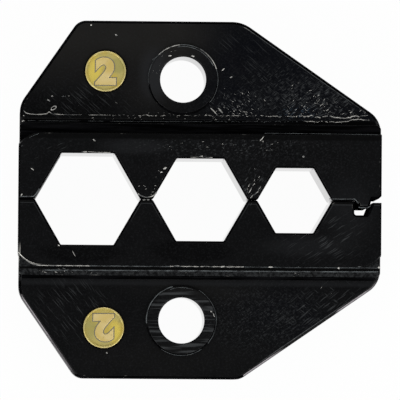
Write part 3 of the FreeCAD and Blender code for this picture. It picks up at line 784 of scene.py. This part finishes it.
# Lines that are rubbed grey but not bright, and grey painted highlight arcs on the boss rims, laid out in
# the same way
GREY_LINES = {
    "upper": (
        (((-17.3, 7.82), (-5.0, 7.84), (1.0, 7.88)), 7.86, 0.55, 0.40, 0.8),
        (((1.0, 7.9), (10.0, 7.94)), 7.82, 0.7, 0.50, 3.0),
        (((-18.0, 0.19), (-17.29, 0.2), (-16.65, 0.21), (-16.42, 0.45), (-16.1, 1.0)), 8.97, 1.0, 0.0, 0.2),
        (((12.9, 0.2), (14.32, 0.2), (15.3, 0.2), (15.48, 0.22), (15.86, -0.2)), 8.96, 0.8, 0.0, 0.1),
        (((15.88, -0.6), (16.1, -0.66), (16.8, -0.65), (17.06, -0.44)), 8.9, 0.9, 0.0, 0.1),
        # Painted highlights where the upper boss's rim catches light
        (arc("upper", BOSS_FOOT, 185, 130), 7.86, 0.45, 0.2, 0.2),
        (arc("upper", BOSS_FOOT, 100, 58), 7.86, 0.8, 0.0, 0.2),
        (arc("upper", BOSS_FOOT - 0.18, 100, 25), BOSS, 0.6, 0.1, 0.2),
        (arc("upper", BOSS_FOOT, 20, -40), 7.86, 0.5, 0.1, 0.2),
        (((-17.9, 5.2), (-17.49, 5.68), (-17.04, 6.14), (-16.2, 6.5)), 8.98, 0.6, 0.2, 0.5),
        (((6.4, 6.72), (12.0, 6.72), (18.0, 6.66)), 8.9, 0.35, 0.1, 0.2),
        (((-4.9, 14.0), (-4.3, 14.45), (-3.8, 14.8)), BOSS, 0.35, 0.3, 0.5),
    ),
    "lower": (
        (((-11.2, -6.68), (-3.0, -6.68)), 8.87, 0.85, 0.12, 0.7),
        (((4.0, -6.68), (10.0, -6.68), (17.9, -6.67)), 8.87, 0.6, 0.25, 0.8),
        (((-15.6, -7.13), (-8.0, -7.11), (0.0, -7.09), (9.0, -7.09), (17.9, -7.05)), LEDGE, 1.15, 0.0, 0.3),
        (((-16.0, -7.42), (0.0, -7.44), (17.9, -7.4)), 8.42, 0.4, 0.35, 0.6),
        (((15.87, -6.59), (16.67, -6.39), (17.27, -5.98), (17.93, -5.36)), 8.97, 0.55, 0.1, 0.3),
        # Painted highlights where the lower boss's rim catches light
        (arc("lower", BOSS_FOOT, 185, 105), 7.86, 1.1, 0.0, 0.2),
        (arc("lower", BOSS_FOOT - 0.2, 110, 70), BOSS, 0.5, 0.3, 0.2),
        (arc("lower", BOSS_FOOT, 60, -40), 7.86, 0.5, 0.1, 0.2),
        (arc("lower", BOSS_FOOT, -55, -125), 7.86, 0.4, 0.1, 0.2),
    ),
}


def build_worn_line_tree(material):
    """A raw ridge along a path: it wanders, swells and breaks off as the noise says."""
    tree, given, out = new_group("worn line", "GeometryNodeTree", {
        "Path": ("Geometry", None), "Radius": ("Float", 0.00004), "Waviness": ("Float", 0.0001),
        "Gap Share": ("Float", 0.3), "Fineness": ("Float", 700.0), "Seed": ("Float", 0.0)},
        {"Ridge": "Geometry"})
    curve = add_node(tree, "GeometryNodeMeshToCurve", {"Mesh": given["Path"]}).outputs[0]
    curve = add_node(tree, "GeometryNodeResampleCurve", {"Curve": curve, "Length": 0.05 * MM},
                     mode="LENGTH").outputs[0]
    position = tree.nodes.new("GeometryNodeInputPosition").outputs[0]
    drift = add_node(tree, "ShaderNodeTexNoise", {"Vector": position, "W": given["Seed"],
                                                  "Scale": given["Fineness"], "Detail": 2.0},
                     noise_dimensions="4D")
    centred = vectors(tree, "SUBTRACT", drift.outputs["Color"], (0.5, 0.5, 0.5))
    offset = scaled(tree, vectors(tree, "MULTIPLY", centred, (1, 1, 0)), given["Waviness"])
    curve = add_node(tree, "GeometryNodeSetPosition", {"Geometry": curve, "Offset": offset}).outputs[0]

    seed = maths(tree, "ADD", given["Seed"], 7.3)
    body = add_node(tree, "ShaderNodeTexNoise", {"Vector": position, "W": seed, "Scale": given["Fineness"],
                                                 "Detail": 3.0}, noise_dimensions="4D").outputs["Fac"]
    gap = maths(tree, "MULTIPLY_ADD", given["Gap Share"], 0.52, 0.2)
    above = maths(tree, "SUBTRACT", body, gap)
    swell = maths(tree, "POWER", maths(tree, "MAXIMUM", above, 0.0), 0.4)
    radius = maths(tree, "MULTIPLY", swell, maths(tree, "MULTIPLY", given["Radius"], 1.9))
    edges = add_node(tree, "GeometryNodeCurveToMesh", {"Curve": curve}).outputs[0]
    bare = add_node(tree, "FunctionNodeCompare", {0: above, 1: 0.0}, data_type="FLOAT",
                    operation="LESS_THAN").outputs[0]
    kept = add_node(tree, "GeometryNodeDeleteGeometry", {"Geometry": edges, "Selection": bare},
                    domain="POINT").outputs[0]
    pieces = add_node(tree, "GeometryNodeMeshToCurve", {"Mesh": kept}).outputs[0]
    profile = add_node(tree, "GeometryNodeCurvePrimitiveCircle", {"Resolution": 6, "Radius": 1.0}).outputs[0]
    ridge = add_node(tree, "GeometryNodeCurveToMesh", {"Curve": pieces, "Profile Curve": profile,
                                                       "Scale": radius, "Fill Caps": True}).outputs[0]
    real = add_node(tree, "GeometryNodeRealizeInstances", {"Geometry": ridge}).outputs[0]
    coated = add_node(tree, "GeometryNodeSetMaterial", {"Geometry": real, "Material": material}).outputs[0]
    tree.links.new(coated, out["Ridge"])
    return tree


def set_inputs(modifier, values):
    """Give a Geometry Nodes modifier its inputs by their sockets' identifiers."""
    for item in modifier.node_group.interface.items_tree:
        if item.in_out == "INPUT" and item.name in values:
            modifier[item.identifier] = values[item.name]


def grown_mesh(name, base_mesh, tree, values):
    """The plain mesh that the tree grows on a base mesh."""
    holder = bpy.data.objects.new(name, base_mesh)
    bpy.context.scene.collection.objects.link(holder)
    modifier = holder.modifiers.new(name, "NODES")
    modifier.node_group = tree
    set_inputs(modifier, values)
    evaluated = holder.evaluated_get(bpy.context.evaluated_depsgraph_get())
    grown = bpy.data.meshes.new_from_object(evaluated)
    bpy.data.objects.remove(holder)
    bpy.data.meshes.remove(base_mesh)
    return grown


def line_fineness(wander):
    """Breaks to a metre: a line that wanders far is also finely broken."""
    return 3300.0 if wander > 2.9 else 1700.0 if wander > 1 else 900.0


def path_mesh(points, level):
    """An open path of edges, in millimetres."""
    mesh = bpy.data.meshes.new("path")
    mesh.from_pydata([(x * MM, y * MM, level * MM) for x, y in points],
                     [(index, index + 1) for index in range(len(points) - 1)], [])
    return mesh


def join_meshes(name, meshes):
    """One mesh from several, with their shared material."""
    joined = bmesh.new()
    for mesh in meshes:
        joined.from_mesh(mesh)
        bpy.data.meshes.remove(mesh)
    return plain_mesh(name, joined)


# Bright flecks in millimetres on the front faces: outline, level, count per square millimetre, turn, size
FLECK_FIELDS = {
    "upper": (
        (((8.0, 8.7), (16.2, 8.7), (16.6, 8.95), (13.4, 10.3), (9.0, 10.2)), WING, 5.0, 34, 0.9),
        (((8.0, 8.7), (16.0, 8.7), (15.2, 9.5), (12.9, 10.6), (8.6, 10.2)), WING, 2.0, -26, 0.65),
        (((8.6, 9.9), (13.6, 10.2), (12.2, 11.4), (9.0, 12.0)), WING, 2.5, 38, 0.75),
        (((8.6, 8.45), (11.0, 8.45), (10.8, 9.1), (8.8, 9.0)), WING, 7.0, 20, 0.55),
        (((2.0, 8.7), (7.0, 8.7), (7.4, 10.2), (5.4, 11.0), (2.3, 11.4)), WING, 3.4, -38, 0.65),
        (((1.6, 8.6), (4.6, 8.6), (4.2, 10.0), (1.6, 10.2)), WING, 3.0, -40, 0.9),
        (((-8.0, 8.45), (6.0, 8.45), (6.0, 8.75), (-8.0, 8.7)), WING, 4.5, 0, 0.7),
        (((-12.0, 8.0), (7.0, 8.0), (7.0, 8.4), (-12.0, 8.4)), 7.74, 4.0, 15, 0.65),
        (((-4.0, 4.9), (8.0, 4.9), (8.0, 6.0), (-4.0, 6.0)), JAW, 1.8, 20, 0.6),
        (((-16.0, 8.7), (-8.0, 8.7), (-8.0, 10.4), (-15.5, 10.6)), WING, 0.6, -40, 0.6),
        (((4.5, 0.6), (5.7, 0.6), (6.6, 3.2), (4.6, 3.2)), JAW, 2.6, 60, 0.8),
        (((-6.0, 0.5), (-4.6, 0.5), (-3.8, 1.4), (-6.2, 1.4)), JAW, 4.5, 10, 0.8),
        (((-4.6, 2.2), (-3.6, 2.2), (-2.9, 3.9), (-3.8, 3.9)), JAW, 1.6, 40, 0.7),
        (((-4.9, 12.6), (-4.2, 12.6), (-3.8, 14.2), (-2.4, 15.0), (-3.2, 15.2), (-4.4, 14.2)),
         BOSS, 6.0, 30, 0.4),
    ),
    "lower": (
        (((-11.0, -6.35), (-11.0, -6.6), (10.0, -6.6), (10.0, -6.35)), 8.93, 3.0, 5, 0.6),
        (((-17.0, -6.9), (-17.0, -7.5), (-12.0, -7.5), (-12.0, -6.9)), LEDGE, 5.0, -30, 0.9),
        (((-12.0, -7.0), (-12.0, -7.5), (16.5, -7.4), (16.5, -6.95)), LEDGE, 2.0, 5, 0.5),
        (((10.2, -8.6), (16.2, -8.6), (13.4, -10.4), (10.4, -10.8)), WING, 0.5, 38, 0.6),
    ),
}


def build_fleck_tree(material):
    """Flat slivers of bare steel scattered over a patch, all but lying along one direction."""
    tree, given, out = new_group("bright flecks", "GeometryNodeTree", {
        "Patch": ("Geometry", None), "Density": ("Float", 1e6), "Length": ("Float", 0.0004),
        "Turn": ("Float", 0.0), "Seed": ("Int", 0)}, {"Flecks": "Geometry"})
    points = add_node(tree, "GeometryNodeDistributePointsOnFaces", {
        "Mesh": given["Patch"], "Density": given["Density"], "Seed": given["Seed"]}).outputs[0]
    ball = add_node(tree, "GeometryNodeMeshUVSphere", {"Segments": 6, "Rings": 4, "Radius": 0.5}).outputs[0]

    def random(low, high, shift):
        seed = maths(tree, "ADD", given["Seed"], shift)
        return add_node(tree, "FunctionNodeRandomValue", {2: low, 3: high, "Seed": seed},
                        data_type="FLOAT").outputs[1]

    spread = maths(tree, "ADD", given["Turn"], random(-0.28, 0.28, 11))
    turn = combined(tree, z=spread)
    shrink = maths(tree, "POWER", random(0.35, 1.0, 23), 2.0)
    long_way = maths(tree, "MULTIPLY", given["Length"], shrink)
    across = maths(tree, "MULTIPLY", given["Length"], maths(tree, "MULTIPLY_ADD", shrink, 0.10, 0.065))
    size = combined(tree, long_way, across, 0.03 * MM)
    scattered = add_node(tree, "GeometryNodeInstanceOnPoints", {
        "Points": points, "Instance": ball, "Rotation": turn, "Scale": size}).outputs[0]
    real = add_node(tree, "GeometryNodeRealizeInstances", {"Geometry": scattered}).outputs[0]
    coated = add_node(tree, "GeometryNodeSetMaterial", {"Geometry": real, "Material": material}).outputs[0]
    tree.links.new(coated, out["Flecks"])
    return tree


def patch_mesh(outline, level):
    """A single flat face, in millimetres."""
    mesh = bpy.data.meshes.new("patch")
    mesh.from_pydata([(x * MM, y * MM, level * MM) for x, y in outline], [], [tuple(range(len(outline)))])
    return mesh


# Single nicks, in millimetres: x, y, level, length, width and turn in degrees
NICKS = {
    "upper": (
        (-15.22, 9.89, WING, 0.42, 0.14, -35), (-14.87, 10.32, WING, 0.2, 0.1, 0),
        (-13.77, 10.3, WING, 0.2, 0.12, 0), (-11.02, 17.48, WING, 0.2, 0.16, 0),
        (-8.5, 16.5, WING, 0.28, 0.14, -30), (-10.65, 5.89, JAW, 0.32, 0.15, -35),
        (-0.8, 14.43, BOSS, 0.34, 0.15, -10), (-3.1, 14.45, BOSS, 0.36, 0.13, 5),
        (2, 9.03, WING, 0.75, 0.16, -48), (10.3, 4.43, JAW, 0.22, 0.2, 0), (6.15, 6.18, JAW, 0.7, 0.09, 50),
        (-3.55, 3.13, JAW, 0.4, 0.2, 30), (-3.9, 2.73, JAW, 0.25, 0.14, 20),
        (-16.8, 2.93, JAW, 0.4, 0.1, -35), (2.25, 13.13, WING, 0.42, 0.1, 42),
        (3.05, 12.38, WING, 0.3, 0.14, 30), (-11.62, 4.7, 8.98, 0.6, 0.16, 0),
        (0.1, 4.36, 8.98, 0.5, 0.16, 10), (5.03, 1.03, JAW, 0.7, 0.09, 62),
        (5.35, 1.58, JAW, 0.4, 0.07, 50), (5.62, 0.74, JAW, 0.8, 0.1, 42), (5.17, 0.4, JAW, 0.5, 0.1, 50),
        (5.93, 1.18, JAW, 0.5, 0.06, 55), (4.88, 1.5, JAW, 0.4, 0.08, 58),
        (-5.6, -0.04, 8.9, 0.32, 0.12, 0), (-5.2, -0.04, 8.9, 0.32, 0.12, 0),
        (-17.86, 0.36, 8.98, 0.4, 0.2, 60), (-17.75, 7.75, 7.9, 0.3, 0.22, 20),
        (-17.7, 8.33, 7.72, 0.14, 0.14, 0),
    ),
    "lower": (
        (-9.2, -15.37, WING, 0.18, 0.16, 0), (-14.1, -4.67, JAW, 0.2, 0.14, -40),
        (-12.6, -5.47, JAW, 0.7, 0.06, -60), (13.9, -6.72, JAW, 0.2, 0.2, 0),
        (17.95, -6.62, 8.9, 0.24, 0.2, 0), (2.3, -6.67, JAW, 0.5, 0.14, 8),
        (-2.3, -6.62, JAW, 0.6, 0.12, 0), (7.1, -6.67, JAW, 0.5, 0.12, 0),
        (1.22, -11.15, BOSS, 0.22, 0.14, -40), (1.48, -11.5, BOSS, 0.42, 0.1, -70),
    ),
}


def nick_mesh(marks):
    """Small raised smears of bare steel at given places."""
    shape = bmesh.new()
    for x, y, level, long_way, across, turn in marks:
        move = Matrix.Translation((x * MM, y * MM, level * MM))
        rotate = Matrix.Rotation(math.radians(turn), 4, "Z")
        stretch = Matrix.Diagonal((long_way * MM, across * MM, 0.05 * MM, 1))
        bmesh.ops.create_uvsphere(shape, u_segments=10, v_segments=5, radius=0.5,
                                  matrix=move @ rotate @ stretch)
    return plain_mesh("nicks", shape)


def ring_nick_mesh():
    """A ring-shaped nick on the upper wing, where a point was pressed in and turned."""
    shape = bmesh.new()
    centre = Vector((-14.71, 9.12, WING)) * MM
    turn = Matrix.Rotation(math.radians(32), 3, "Z")
    steps, sides = 28, 6
    rings = []
    for step in range(steps):
        angle = step / steps * math.tau
        middle = centre + turn @ Vector((0.28 * MM * math.cos(angle), 0.15 * MM * math.sin(angle), 0))
        outward = (middle - centre).normalized()
        thick = (0.055 + 0.018 * math.sin(2 * angle + 0.6)) * MM
        ring = []
        for side in range(sides):
            swing = side / sides * math.tau
            lift = Vector((0, 0, 0.6 * thick * math.sin(swing)))
            ring.append(shape.verts.new(middle + outward * thick * math.cos(swing) + lift))
        rings.append(ring)
    for step in range(steps):
        here, after = rings[step], rings[(step + 1) % steps]
        for side in range(sides):
            beyond = (side + 1) % sides
            shape.faces.new((here[side], after[side], after[beyond], here[beyond]))
    bmesh.ops.recalc_face_normals(shape, faces=shape.faces)
    return plain_mesh("ring_nick", shape)


def numeral_mesh(brass, upside_down, spread, relief):
    """A bold numeral with a soft upper edge, its foot just under the field."""
    text = bpy.data.curves.new("numeral", "FONT")
    text.body = brass.numeral
    text.align_x = "CENTER"
    text.align_y = "CENTER"
    text.size = 1.0
    text.offset = 0.035 + spread / brass.numeral_height * 0.75
    text.extrude = 0.05
    text.bevel_depth = 0.018
    text.bevel_resolution = 2
    text.resolution_u = 12
    holder = bpy.data.objects.new("numeral", text)
    bpy.context.scene.collection.objects.link(holder)
    bpy.context.view_layer.update()
    mesh = bpy.data.meshes.new_from_object(holder.evaluated_get(bpy.context.evaluated_depsgraph_get()))
    bpy.data.objects.remove(holder)
    bpy.data.curves.remove(text)
    low = Vector([min(vertex.co[axis] for vertex in mesh.vertices) for axis in range(3)])
    high = Vector([max(vertex.co[axis] for vertex in mesh.vertices) for axis in range(3)])
    size = high - low
    scale = (brass.numeral_height + 2 * spread) / size.y
    sunk = 0.03 * MM
    centre = Matrix.Translation(-(low + high) / 2)
    shrink = Matrix.Diagonal((scale * 1.12, scale, (relief + sunk) / size.z, 1))
    lift = Matrix.Translation((0, 0, (relief - sunk) / 2))
    turn = Matrix.Rotation(math.pi if upside_down else 0.0, 4, "Z")
    mesh.transform(turn @ lift @ shrink @ centre)
    return mesh


# Operators

class CRIMPDIE_OT_dress_halves(bpy.types.Operator):
    """Put broken edges, worn black oxide and painted shade on both die halves"""
    bl_idname = "crimpdie.dress_halves"
    bl_label = "Dress the die halves"

    def execute(self, context):
        finish = finish_sets(context.scene)
        for half in HALVES:
            shape = merged_solid(half + "_die")
            break_outer_edges(shape, context.scene.crimp_steel.edge_break)
            assign_coats(shape, half)
            coats = [finish["oxide"], finish["grime"], finish["wall"]]
            piece = add_piece(half + "_die_body", plain_mesh(half + "_die_body", shape), coats)
            finish_normals(piece)
            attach(piece, half)
            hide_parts(half + "_die")
        return {"FINISHED"}


class CRIMPDIE_OT_add_worn_lines(bpy.types.Operator):
    """Raise the broken bright lines where the steps have rubbed, and the painted highlight arcs on the boss
    rims
    """
    bl_idname = "crimpdie.add_worn_lines"
    bl_label = "Add the worn lines"

    def execute(self, context):
        finish = finish_sets(context.scene)
        wear = context.scene.crimp_wear
        trees = {kind: build_worn_line_tree(finish[kind]) for kind in ("bare", "worn")}
        sets = [(kind, half, lines[half]) for kind, lines in (("bare", WORN_LINES), ("worn", GREY_LINES))
                for half in HALVES]
        for kind, half, lines in sets:
            ridges = []
            for number, (points, level, size, gaps, wander) in enumerate(lines):
                ridges.append(grown_mesh("worn line", path_mesh(points, level), trees[kind], {
                    "Radius": wear.line_radius * size, "Waviness": wear.waviness * wander, "Gap Share": gaps,
                    "Fineness": line_fineness(wander),
                    "Seed": wear.seed + 3.7 * number + (11.0 if half == "lower" else 0.0)}))
            name = "%s_%s_lines" % (half, kind)
            piece = add_piece(name, join_meshes(name, ridges), [finish[kind]])
            piece.data.shade_smooth()
            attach(piece, half)
        return {"FINISHED"}


class CRIMPDIE_OT_add_flecks(bpy.types.Operator):
    """Scatter bright flecks and nicks over the worked faces"""
    bl_idname = "crimpdie.add_flecks"
    bl_label = "Add flecks and nicks"

    def execute(self, context):
        finish = finish_sets(context.scene)
        wear = context.scene.crimp_wear
        tree = build_fleck_tree(finish["bare"])
        for half in HALVES:
            marks = [nick_mesh(NICKS[half])]
            if half == "upper":
                marks.append(ring_nick_mesh())
            for number, (outline, level, density, turn, size) in enumerate(FLECK_FIELDS[half]):
                marks.append(grown_mesh("flecks", patch_mesh(outline, level), tree, {
                    "Density": density * 1e6, "Length": wear.fleck_length * size, "Turn": math.radians(turn),
                    "Seed": wear.seed + number * 5}))
            piece = add_piece(half + "_flecks", join_meshes(half + "_flecks", marks), [finish["bare"]])
            piece.data.shade_smooth()
            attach(piece, half)
        return {"FINISHED"}


class CRIMPDIE_OT_dress_pins(bpy.types.Operator):
    """Finish the marker pins in brass and raise a numeral on each face over a painted shadow round it"""
    bl_idname = "crimpdie.dress_pins"
    bl_label = "Dress the marker pins"

    def execute(self, context):
        finish = finish_sets(context.scene)
        brass = context.scene.crimp_brass
        for half in HALVES:
            node = half + "_marker_pin"
            low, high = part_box(node)
            centre = (low + high) / 2
            shape = merged_solid(node)
            rim_reach = (high.x - low.x) / 2 - PIN_RIM * MM
            for face in shape.faces:
                middle = face.calc_center_median()
                off_axis = math.hypot(middle.x - centre.x, middle.y - centre.y)
                face.material_index = 0 if off_axis < rim_reach - 1e-6 and abs(face.normal.z) > 0.9 else 1
            coats = [finish["field"], finish["rim"]]
            piece = add_piece(half + "_pin_body", plain_mesh(half + "_pin_body", shape), coats)
            finish_normals(piece)
            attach(piece, half)
            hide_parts(node)

            field = high.z - FIELD_DEPTH * MM
            # The wider, low copy of each numeral carries the painted shadow round it
            for name, coat, spread, relief in (("_numeral", "raised", 0.0, brass.numeral_relief),
                                               ("_outline", "outline", 0.09 * MM, 0.02 * MM)):
                numeral = numeral_mesh(brass, half == "lower", spread, relief)
                numeral.transform(Matrix.Translation((centre.x, centre.y, field)))
                raised = add_piece(half + name, numeral, [finish[coat]])
                finish_normals(raised)
                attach(raised, half)
        return {"FINISHED"}


class CRIMPDIE_OT_set_stage(bpy.types.Operator):
    """Set up the floor, the soft lights and the camera straight above"""
    bl_idname = "crimpdie.set_stage"
    bl_label = "Set the stage"

    def execute(self, context):
        scene, studio = context.scene, context.scene.crimp_studio
        scene.view_settings.view_transform = "Standard"
        # The floor lies a hair below the jaws' backs, so that the two faces don't flicker
        shape = bmesh.new()
        hair_below = Matrix.Translation((0, 0, -0.02 * MM))
        bmesh.ops.create_circle(shape, cap_ends=True, segments=96, radius=1.6, matrix=hair_below)
        add_piece("floor", plain_mesh("floor", shape), [build_floor_material()])

        world = bpy.data.worlds.new("studio")
        world.use_nodes = True
        scene.world = world
        sky = world.node_tree.nodes["Background"].inputs
        seen = world.node_tree.nodes.new("ShaderNodeLightPath").outputs["Is Camera Ray"]
        strength = add_node(world.node_tree, "ShaderNodeMapRange", {0: seen, 3: studio.sky, 4: 1.0})
        sky["Color"].default_value = (1, 1, 1, 1)
        world.node_tree.links.new(strength.outputs[0], sky["Strength"])

        self.add_light("left_light", (-0.40, -0.32, 0.26), 0.4, studio.light)
        self.add_light("right_light", (0.40, -0.34, 0.26), 0.4, studio.light)
        self.add_light("back_light", (0.02, 0.42, 0.34), 0.5, studio.light * 0.6)
        self.add_camera(scene, studio)
        return {"FINISHED"}

    def add_light(self, name, place, size, power):
        lamp = bpy.data.lights.new(name, "AREA")
        lamp.shape = "SQUARE"
        lamp.size = size
        lamp.energy = power
        holder = bpy.data.objects.new(name, lamp)
        holder.location = place
        holder.rotation_euler = (-Vector(place)).to_track_quat("-Z", "Y").to_euler()
        bpy.context.scene.collection.objects.link(holder)

    def add_camera(self, scene, studio):
        front = cad_box[1].z
        place = Vector((*studio.foot, studio.height))
        target = Vector((*studio.aim, front))
        sight = (target - place).normalized()
        right = Vector((1, 0, 0))
        right = (right - sight * right.dot(sight)).normalized()
        upright = Matrix((right, right.cross(sight), -sight)).transposed().to_4x4()
        camera = bpy.data.cameras.new("camera")
        camera.sensor_width = 36
        camera.lens = camera.sensor_width * (target - place).length / studio.view_width
        camera.clip_start, camera.clip_end = 0.01, 5
        holder = bpy.data.objects.new("camera", camera)
        holder.matrix_world = Matrix.Translation(place) @ upright @ Matrix.Rotation(studio.roll, 4, "Z")
        scene.collection.objects.link(holder)
        scene.camera = holder


STEPS = (CRIMPDIE_OT_dress_halves, CRIMPDIE_OT_add_worn_lines, CRIMPDIE_OT_add_flecks,
         CRIMPDIE_OT_dress_pins, CRIMPDIE_OT_set_stage)


class CRIMPDIE_PT_steps(bpy.types.Panel):
    """The steps that dress the die set"""
    bl_idname = "CRIMPDIE_PT_steps"
    bl_label = "Crimp die"
    bl_space_type = "VIEW_3D"
    bl_region_type = "UI"
    bl_category = "Crimp die"

    def draw(self, context):
        for name, group in GROUPS:
            box = self.layout.box()
            for prop in group.__annotations__:
                box.prop(getattr(context.scene, name), prop)
        for step in STEPS:
            self.layout.operator(step.bl_idname)


CLASSES = tuple(group for _, group in GROUPS) + STEPS + (CRIMPDIE_PT_steps,)


def register():
    for cls in CLASSES:
        bpy.utils.register_class(cls)
    for name, group in GROUPS:
        setattr(bpy.types.Scene, name, PointerProperty(type=group))


def unregister():
    for name, _ in GROUPS:
        delattr(bpy.types.Scene, name)
    for cls in reversed(CLASSES):
        bpy.utils.unregister_class(cls)


def main():
    register()
    bpy.ops.crimpdie.dress_halves()
    bpy.ops.crimpdie.add_worn_lines()
    bpy.ops.crimpdie.add_flecks()
    bpy.ops.crimpdie.dress_pins()
    bpy.ops.crimpdie.set_stage()


if __name__ == "__main__":
    main()
